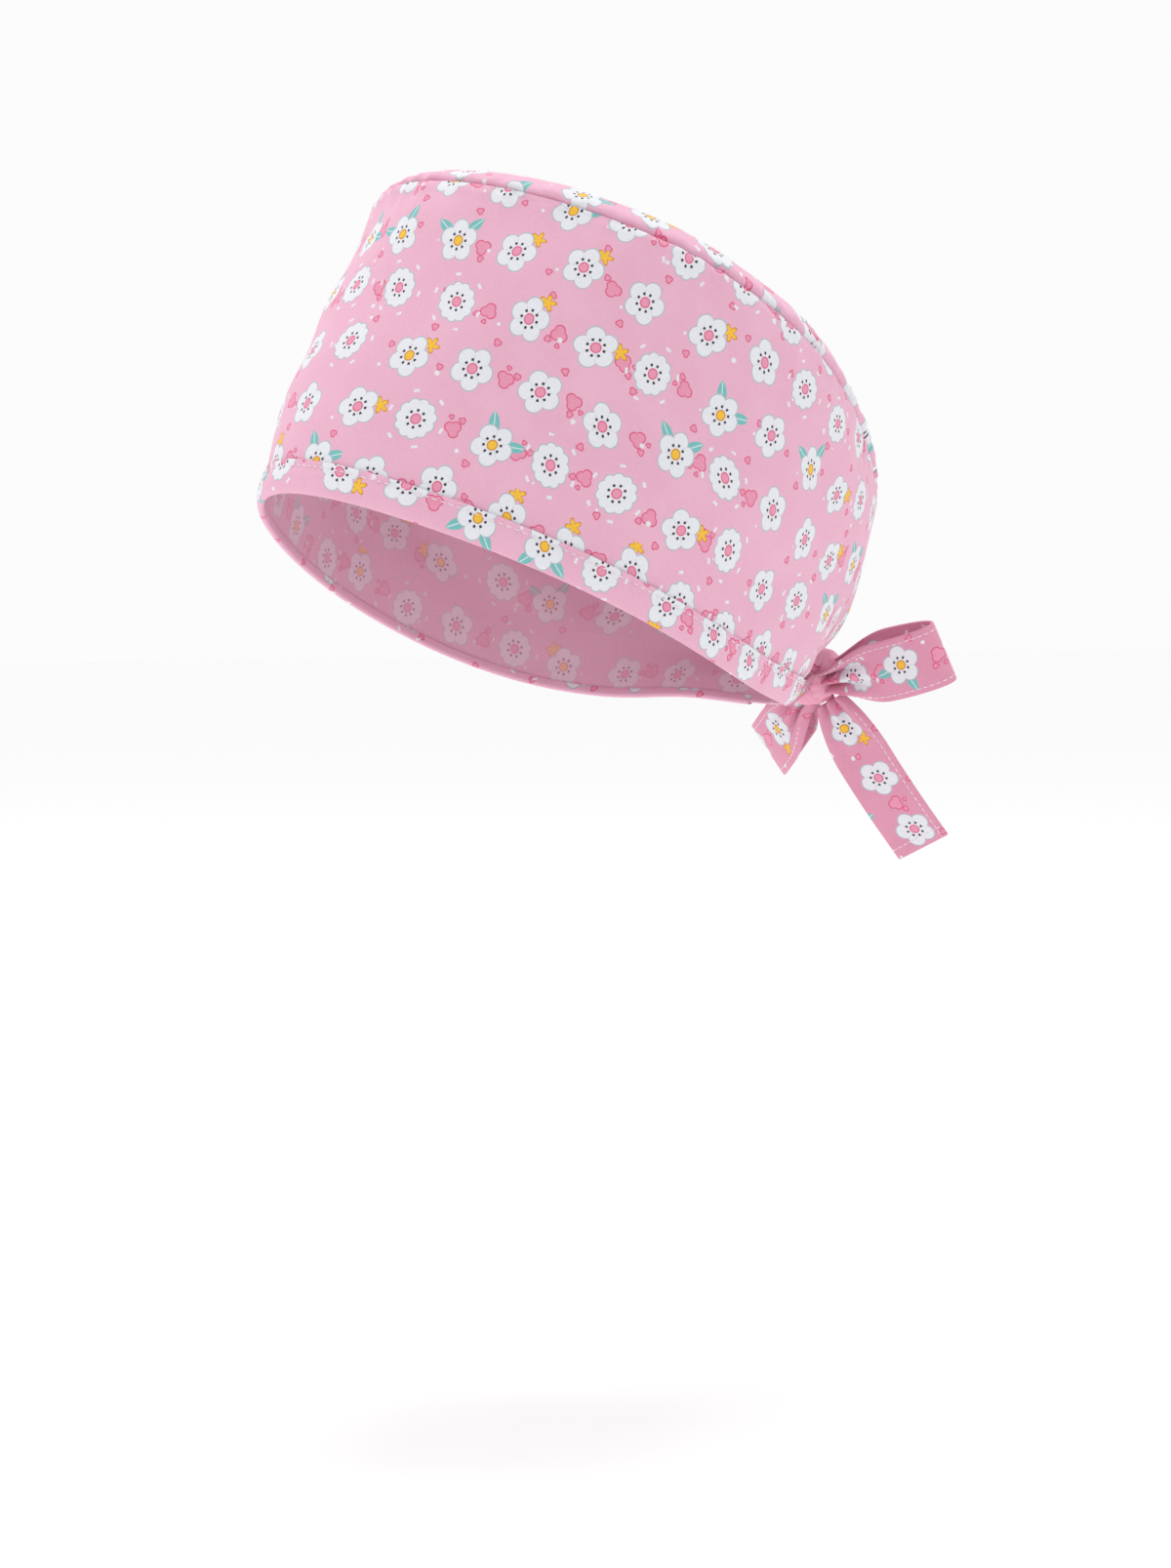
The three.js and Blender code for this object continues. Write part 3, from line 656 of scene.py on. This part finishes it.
def stitch_object(name, line, out, pitch=STITCH_PITCH):
    """A row of stitches along a line of points: each is a spindle of rings about its own length whose radius
    is a half circle's height, and out is the direction away from the cloth at each point."""
    run = lengths_along(line)
    centres = np.arange(pitch / 2, run[-1], pitch)

    def at(places, values):
        return np.stack([np.interp(places, run, values[:, k]) for k in range(3)], axis=-1)

    along = unit(at(centres + 0.3 * MM, line) - at(centres - 0.3 * MM, line))
    up = unit(at(centres, out))
    side = np.cross(along, up)
    middle = at(centres, line)
    stations = np.linspace(-1, 1, STITCH_RINGS)
    radius = STITCH_RADIUS * np.sqrt(np.maximum(1.02 - stations**2, 0))
    turn = np.linspace(0, TURN, STITCH_SIDES, endpoint=False)
    ring = (np.cos(turn)[:, None, None] * side + np.sin(turn)[:, None, None] * up).transpose(1, 0, 2)
    length = along[:, None, None] * (stations * STITCH_LENGTH / 2)[None, :, None, None]
    points = middle[:, None, None] + length + ring[:, None] * radius[None, :, None, None]
    points = points - up[:, None, None] * (STITCH_SINK * stations**2)[None, :, None, None]
    count = len(centres)
    i, j, k = np.ogrid[:count, :STITCH_RINGS - 1, :STITCH_SIDES]
    start = (i * STITCH_RINGS + j) * STITCH_SIDES
    following = (k + 1) % STITCH_SIDES
    quads = np.stack(np.broadcast_arrays(start + k, start + following, start + STITCH_SIDES + following,
                                         start + STITCH_SIDES + k), axis=-1).reshape(-1, 4)
    first = np.arange(count)[:, None] * STITCH_RINGS * STITCH_SIDES + np.arange(STITCH_SIDES)[None]
    caps = np.concatenate([first[:, ::-1], first + (STITCH_RINGS - 1) * STITCH_SIDES])
    mesh = bpy.data.meshes.new(name)
    mesh.from_pydata(points.reshape(-1, 3).tolist(), [], quads.tolist() + caps.tolist())
    mesh.polygons.foreach_set("use_smooth", np.ones(len(mesh.polygons), dtype=bool))
    mesh.update()
    piece = add_object(name, mesh)
    piece.data.materials.append(thread)
    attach(piece, "root")
    return piece


def sewing_thread(name):
    """Twisted thread: fine noise on the object's own coordinates as relief, under a soft sheen."""
    material = bpy.data.materials.new(name)
    material.use_nodes = True
    nodes, links = material.node_tree.nodes, material.node_tree.links
    shader = nodes["Principled BSDF"]
    place = nodes.new("ShaderNodeTexCoord")
    twist = nodes.new("ShaderNodeTexNoise")
    twist.inputs["Scale"].default_value = 2500
    links.new(place.outputs["Object"], twist.inputs["Vector"])
    bump = nodes.new("ShaderNodeBump")
    bump.inputs["Distance"].default_value = 0.05 * MM
    links.new(twist.outputs[0], bump.inputs["Height"])
    links.new(bump.outputs[0], shader.inputs["Normal"])
    shader.inputs["Base Color"].default_value = THREAD_WHITE
    shader.inputs["Roughness"].default_value = 0.6
    shader.inputs["Sheen Weight"].default_value = 0.2
    return material


thread = sewing_thread("sewing thread")
stitch_angle = np.linspace(-BACK + mouth_angle, BACK - mouth_angle, CUFF_STITCH_POINTS)[:, None]
stitch_line = near_band(stitch_angle, CUFF_STITCH_RISE, CUFF_STITCH_OUT)[:, 0]
stitch_out = stitch_line - near_band(stitch_angle, CUFF_STITCH_RISE, 0.0)[:, 0]
cuff_stitches = stitch_object("cuff_stitches", stitch_line, stitch_out)

# Loops of the bow
# The strap is a flat strip of the cotton, folded lengthwise with its edges turned in and
# topstitched. On each side of the knot it is laid back on itself and tied in as a loop.
STRAP_WIDTH = 22 * MM
STRAP_THICKNESS = 1.1 * MM
STRAP_COLUMNS = 21
STITCHED_COLUMNS = (STRAP_COLUMNS - 3, 2)    # by the strap's lower and upper edge
STRAP_PITCH = 2.4 * MM          # of its stitches
STITCH_LIFT = STRAP_THICKNESS / 2 + 0.08 * MM
PINCH = 0.42                    # share of the strap's width that is left at the knot
PLEAT_WAVES, PLEAT_PHASE = 2.6 * math.pi, 0.8    # over half the strap's width
STRAP_PLEAT, LOOP_PLEAT = 1.7 * MM, 2.6 * MM
KNOT_RISE = 19 * MM             # up the band from the hem to the knot's middle
KNOT_HALF_WIDTH, KNOT_HALF_HEIGHT, KNOT_HALF_DEPTH = 7.5 * MM, 10.4 * MM, 6.5 * MM
KNOT_OUT = CLOTH_WALL / 2 + PIECE_GAP + CLOTH_WALL + PIECE_GAP + KNOT_HALF_DEPTH
CUFF_HEIGHT = 9.5 * MM
LOOP_BELLY = 7.6 * MM           # half the distance between the two strands of a loop
LOOP_EXIT = 6 * MM              # the strap stays pinched up to here
LOOP_OPENING, LOOP_OPENING_POWER = 0.46, 1.3    # share of the length over which it opens, and how soon

# the strap's cloth takes the darker ground, which is painted shade over the printed cotton
strap_cotton_painted_shade = printed_cotton("printed cotton, strap, painted shade", ground=TIE_GROUND_PAINTED_SHADE)


def band_point(angle, rise, out):
    """One point by the lower band, as near_band gives it."""
    return near_band(np.array([[angle]]), rise, out)[0, 0]


back_hem = band_surface(BACK, np.array(0.0))
knot_up = unit(band_point(BACK, CUFF_HEIGHT, 0.0) - back_hem)
knot_out = unit(band_point(BACK, CUFF_HEIGHT / 2, MM) - band_point(BACK, CUFF_HEIGHT / 2, 0.0))
knot_centre = back_hem + knot_up * KNOT_RISE + knot_out * KNOT_OUT


def lay_frame(root, along, across):
    """Unit directions along a piece, across its width and out of its face, and its root by the knot."""
    along = unit(np.array(along, float))
    across = np.array(across, float)
    across = unit(across - along * (across @ along))
    return along, across, np.cross(along, across), knot_centre + np.array(root) * MM


def opened(distance, full, power=0.7):
    """How far the strap has opened from its pinch at the knot: 0 there, 1 from the distance full on, as the
    sine of a quarter turn raised to a power."""
    return np.sin(math.pi / 2 * np.clip(distance / full, 0, 1)) ** power


def strap_object(name, path, across, open_share, print_shift, fold_height=STRAP_PLEAT):
    """A strap along a path. Its width grows with open_share, and waves across it stand as pleats where it is
    still pinched. Gives the piece, its points, the direction of its face and the length along it."""
    side = np.linspace(-1, 1, STRAP_COLUMNS)[None]
    run = unit(np.gradient(path, axis=0))
    face = unit(np.cross(run, np.broadcast_to(across, run.shape)))
    width = STRAP_WIDTH * (PINCH + (1 - PINCH) * open_share)[:, None]
    pleat = fold_height * (1 - open_share[:, None]) ** 0.7 * np.cos(PLEAT_WAVES * side + PLEAT_PHASE)
    points = path[:, None] + across * (side * width / 2)[..., None] + face[:, None] * pleat[..., None]
    length = lengths_along(path)
    flat = np.stack(np.broadcast_arrays(length[:, None], side * STRAP_WIDTH / 2), axis=-1) + print_shift
    piece = cloth_object(name, points, flat)
    thicken(piece, STRAP_THICKNESS, 0.0).material_offset = 0
    smooth = piece.modifiers.new("soft edges", "SUBSURF")
    smooth.levels = smooth.render_levels = 1
    return piece, points, face, length


def topstitch(name, points, face, side_index, first=0.12, lift=1):
    """A row of stitches along one column of a strap, from the share first of its length on, on the face that
    lift points to."""
    start = int(first * len(points))
    line = points[start:, side_index] + face[start:] * (lift * STITCH_LIFT)
    piece = stitch_object(name, line, face[start:] * lift, STRAP_PITCH)


def loop_path(root, along, apart, length, share):
    """A drop-shaped path: it reaches out with the squared sine of the turn, and its two strands stand
    apart with the sine of twice the turn."""
    turn = math.pi * share
    reach = length * np.sin(turn) ** 2
    belly = np.sin(2 * turn) * np.sqrt(np.sin(turn))
    return root + along * reach[:, None] + apart * belly[:, None], reach


# the lay (root from the knot's middle in mm, direction, direction of the width), the length, how far the
# strands slide over each other across their width, and the print's shift
loops = {
    "bow_loop_left": (((2, 0, -1.2), (45, 16, 10), (-0.06, 0.42, -0.91)),
                      50.5 * MM, 0, (0.0, 0.031)),
    "bow_loop_right": (((-2, -0.5, -4), (-43, 14, -23), (0.26, 0.35, -0.90)),
                       47 * MM, 3.6 * MM, (0.055, 0.012)),
}
loop_share = np.linspace(0.06, 0.94, 84)
for name, (lay, length, slide, print_shift) in loops.items():
    along, across, out, root = lay_frame(*lay)
    path, reach = loop_path(root, along, out * LOOP_BELLY + across * slide, length, loop_share)
    open_share = opened(reach - LOOP_EXIT, LOOP_OPENING * length, LOOP_OPENING_POWER)
    loop, points, face, run = strap_object(name + "_cloth", path, across, open_share, print_shift, LOOP_PLEAT)
    finish_cloth(loop, [name], "tie_cloth", (0.022, round(float(run[-1]), 3)), "folded", [strap_cotton_painted_shade])
    topstitch(name + "_stitches", points, face, STITCHED_COLUMNS[0], first=0.1)
    topstitch(name + "_upper_stitches", points, face, STITCHED_COLUMNS[1], first=0.1)

# Free ends
# The strap's plain length past the knot. Its end is turned in and stitched across, and it hangs
# a little bowed from the pleats that the knot leaves in it.
END_OPENING = 0.4               # share of its length over which the strap opens
END_SAG = 0.03                  # its bow, a share of its length
END_HEM = -5                    # row of points, from the end, that carries the stitches across
# the lay, the length and the print's shift, as for the loops
ends = {
    "tie_end_left": (((4.4, 2.7, -8.0), (0.265, 0.475, -0.84), (0.84, 0.24, 0.57)), 61 * MM, (0.023, 0.049)),
    "tie_end_right": (((-1.5, 4, -4), (-14, 37, -36), (-0.83, 0.56, 0)), 50 * MM, (0.037, 0.070)),
}
end_share = np.linspace(0, 1, 60)
for name, (lay, length, print_shift) in ends.items():
    along, across, out, root = lay_frame(*lay)
    bow = END_SAG * length * np.sin(math.pi * end_share)
    path = root + along * (end_share * length)[:, None] + out * bow[:, None]
    open_share = opened(end_share * length, END_OPENING * length)
    end, points, face, run = strap_object(name + "_cloth", path, across, open_share, print_shift)
    finish_cloth(end, [name], "tie_cloth", (0.022, round(float(run[-1]), 3)), "hung", [strap_cotton_painted_shade])
    topstitch(name + "_stitches", points, face, STITCHED_COLUMNS[0])
    topstitch(name + "_back_stitches", points, face, STITCHED_COLUMNS[0], lift=-1)
    across_row = points[END_HEM] + face[END_HEM] * STITCH_LIFT
    hem_row = stitch_object(name + "_hem_stitches", across_row, face[END_HEM] + 0 * across_row, STRAP_PITCH)

# Straps at the cuff
# The strap's two short lengths from the cuff's mouths into the knot, folded narrow by the cuff
# that they run in.
STRAP_LAYER = CLOTH_WALL / 2 + PIECE_GAP + 0.7 * MM    # out of the band's middle
STRAP_START = 0.02              # angle by which the strap starts inside the cuff
STRAP_REACH = 0.8               # share of the way to the knot's middle
CUFF_PLEAT = 0.55 * MM
casing_share = np.linspace(0, 1, 24)
for name, side in (("tie_strap_left", 1), ("tie_strap_right", -1)):
    mouth = band_point(BACK - side * (mouth_angle + STRAP_START), CUFF_HEIGHT / 2, STRAP_LAYER)
    path = mouth + (knot_centre - mouth) * (casing_share * STRAP_REACH)[:, None]
    print_shift = (0.01 * side, 0.09)
    strap = strap_object(name + "_cloth", path, knot_up, 0 * casing_share, print_shift, CUFF_PLEAT)[0]
    finish_cloth(strap, [name], "tie_cloth", (0.011, 0.016), "folded", [strap_cotton_painted_shade],
                 rests_on=["cuff_cloth"])

# Knot
# The strap's own turns drawn tight: one turn wraps over the other from top to bottom, with
# creases that run round with it and pleats where the loops leave.
KNOT_AROUND = 160
KNOT_ACROSS = 90
KNOT_POWER = 0.8                # 1 is round in section, less is boxier
KNOT_BEND = 2.0 * MM            # its two ends bend away from the head
WRAP_HEIGHT, WRAP_EDGE, WRAP_STEEPNESS = 0.7 * MM, 0.6, 40    # the outer turn over the ends of the knot
PLEAT_RELIEF, PLEAT_COUNT, PLEAT_EDGE = 0.35 * MM, 11, 0.7    # pleats round the two ends
CREASE_WIDTH, CREASE_DRIFT = 0.075, 0.09
CREASES = ((-0.75, 1.0, 1.3), (-0.45, 0.4, 1.2), (-0.05, 2.2, 1.0), (0.28, 4.0, 1.5), (0.50, 5.5, 1.6),
           (0.70, 0.9, 1.6))    # place along the knot, phase and depth in mm
KNOT_CLOTH_ROUND = 8.5 * MM     # mean radius at which the print goes round
KNOT_PRINT_SHIFT = (0.012, 0.055)
wrap_turn = np.linspace(0, TURN, KNOT_AROUND, endpoint=False)[:, None]
knot_share = np.sin(np.linspace(-math.pi / 2, math.pi / 2, KNOT_ACROSS))[None]
knot_round = np.maximum(1 - np.abs(knot_share) ** 3.4, 0) ** (1 / 2.5)
turn_up = np.sign(np.sin(wrap_turn)) * np.abs(np.sin(wrap_turn)) ** KNOT_POWER
turn_out = np.sign(np.cos(wrap_turn)) * np.abs(np.cos(wrap_turn)) ** KNOT_POWER
wrap_place = np.abs(knot_share + 0.06 * np.sin(wrap_turn)) - WRAP_EDGE
knot_relief = WRAP_HEIGHT / (1 + np.exp(wrap_place * WRAP_STEEPNESS)) - WRAP_HEIGHT / 2
for crease_place, phase, depth in CREASES:
    drift = knot_share - crease_place - CREASE_DRIFT * np.sin(wrap_turn + phase)
    crease = np.exp(-((drift / CREASE_WIDTH) ** 2)) * (0.8 + 0.2 * np.cos(wrap_turn + phase))
    knot_relief = knot_relief - depth * MM * crease
knot_relief = knot_relief + PLEAT_RELIEF * np.cos(PLEAT_COUNT * wrap_turn) * (np.abs(knot_share) > PLEAT_EDGE)
knot_relief = knot_relief * knot_round
knot_bend = KNOT_BEND * (knot_share**2 - 0.2)
knot_points = (knot_centre
               + np.array([1.0, 0, 0]) * (knot_share * KNOT_HALF_WIDTH + 0 * wrap_turn)[..., None]
               + knot_up * (turn_up * (knot_round * KNOT_HALF_HEIGHT + knot_relief))[..., None]
               + knot_out * (turn_out * (knot_round * KNOT_HALF_DEPTH + knot_relief) + knot_bend)[..., None])
knot_turned = np.linspace(0, TURN, KNOT_AROUND + 1)[:, None] * KNOT_CLOTH_ROUND
knot_uv = np.stack(np.broadcast_arrays(knot_turned, knot_share * KNOT_HALF_WIDTH), axis=-1) + KNOT_PRINT_SHIFT
bow_knot = cloth_object("knot_cloth", knot_points, knot_uv, wrap=True)
close_poles(bow_knot)
bow_knot.data.materials.append(printed_cotton("printed cotton, knot", ground=KNOT_GROUND, blossoms=False))
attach(bow_knot, "root")
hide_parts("bow_knot")

# Floor, light and camera
# A plain pale floor under the cap, a wide soft light from the front left and above with weaker
# ones to fill, and the camera at the photograph's height and distance.
FLOOR_DROP = 0.17               # metres from the cap's lowest point down to the floor
FLOOR_HALF = 12.0
corners = np.array([(-1, -1, 0), (1, -1, 0), (1, 1, 0), (-1, 1, 0)]) * FLOOR_HALF
floor_mesh = bpy.data.meshes.new("floor")
floor_mesh.from_pydata((corners + [0, 0, cad_low.z - FLOOR_DROP]).tolist(), [], [(0, 1, 2, 3)])
floor = add_object("floor", floor_mesh)
paper = bpy.data.materials.new("floor paper")
paper.use_nodes = True
paper.node_tree.nodes["Principled BSDF"].inputs["Base Color"].default_value = linear(254, 254, 254)
paper.node_tree.nodes["Principled BSDF"].inputs["Roughness"].default_value = 0.9
floor.data.materials.append(paper)

AZIMUTH = math.radians(56)      # of the camera, from the front of the head to the wearer's left
PHOTO_FOCAL = 3641.0            # focal length and the photograph's longer side, in its pixels
PHOTO_HEIGHT = 1607.0
HORIZON = 191.5                 # pixels from the photograph's middle up to the horizon
PITCH = math.atan(HORIZON / PHOTO_FOCAL)
SENSOR = 36.0
DISTANCE = 1164 * MM
ORIGIN_RIGHT, ORIGIN_UP = -18.38 * MM, 56.70 * MM    # the head opening's centre from the line of sight
view_right = np.array([math.cos(AZIMUTH), math.sin(AZIMUTH), 0])
level = np.array([-math.sin(AZIMUTH), math.cos(AZIMUTH), 0])
view_ahead = level * math.cos(PITCH) + np.array([0, 0, -1]) * math.sin(PITCH)
view_up = np.cross(view_right, view_ahead)
camera_data = bpy.data.cameras.new("camera")
camera_data.lens = PHOTO_FOCAL / PHOTO_HEIGHT * SENSOR
camera_data.sensor_width = SENSOR
camera_data.clip_start = 0.05
camera = add_object("camera", camera_data)
camera_place = -(ORIGIN_RIGHT * view_right + ORIGIN_UP * view_up + DISTANCE * view_ahead)
camera_turn = np.eye(4)
camera_turn[:3] = np.stack([view_right, view_up, -view_ahead, camera_place], axis=1)
camera.matrix_world = Matrix(camera_turn.tolist())
bpy.context.scene.camera = camera

LIGHT_AIM = Vector((0, 0.01, 0.04))


def soft_light(name, right, up, toward, size, watts):
    """A square area light placed in metres to the camera's right, up and toward it, and turned to the cap."""
    data = bpy.data.lights.new(name, "AREA")
    data.size = size
    data.energy = watts
    light = add_object(name, data)
    light.location = LIGHT_AIM + Vector(view_right * right + np.array([0, 0, up]) - level * toward)
    light.rotation_euler = (LIGHT_AIM - light.location).to_track_quat("-Z", "Y").to_euler()


soft_light("left light", -1.5, 0.5, 0.1, 1.0, 3.4)
soft_light("right light", 1.5, 0.5, 0.1, 1.0, 0.8)
soft_light("top light", 0.1, 1.8, -0.5, 0.9, 14)

sky = bpy.data.worlds.new("white room")
sky.use_nodes = True
sky.node_tree.nodes["Background"].inputs["Color"].default_value = (1, 1, 1, 1)
sky.node_tree.nodes["Background"].inputs["Strength"].default_value = 0.97
bpy.context.scene.world = sky
bpy.context.scene.view_settings.view_transform = "Standard"
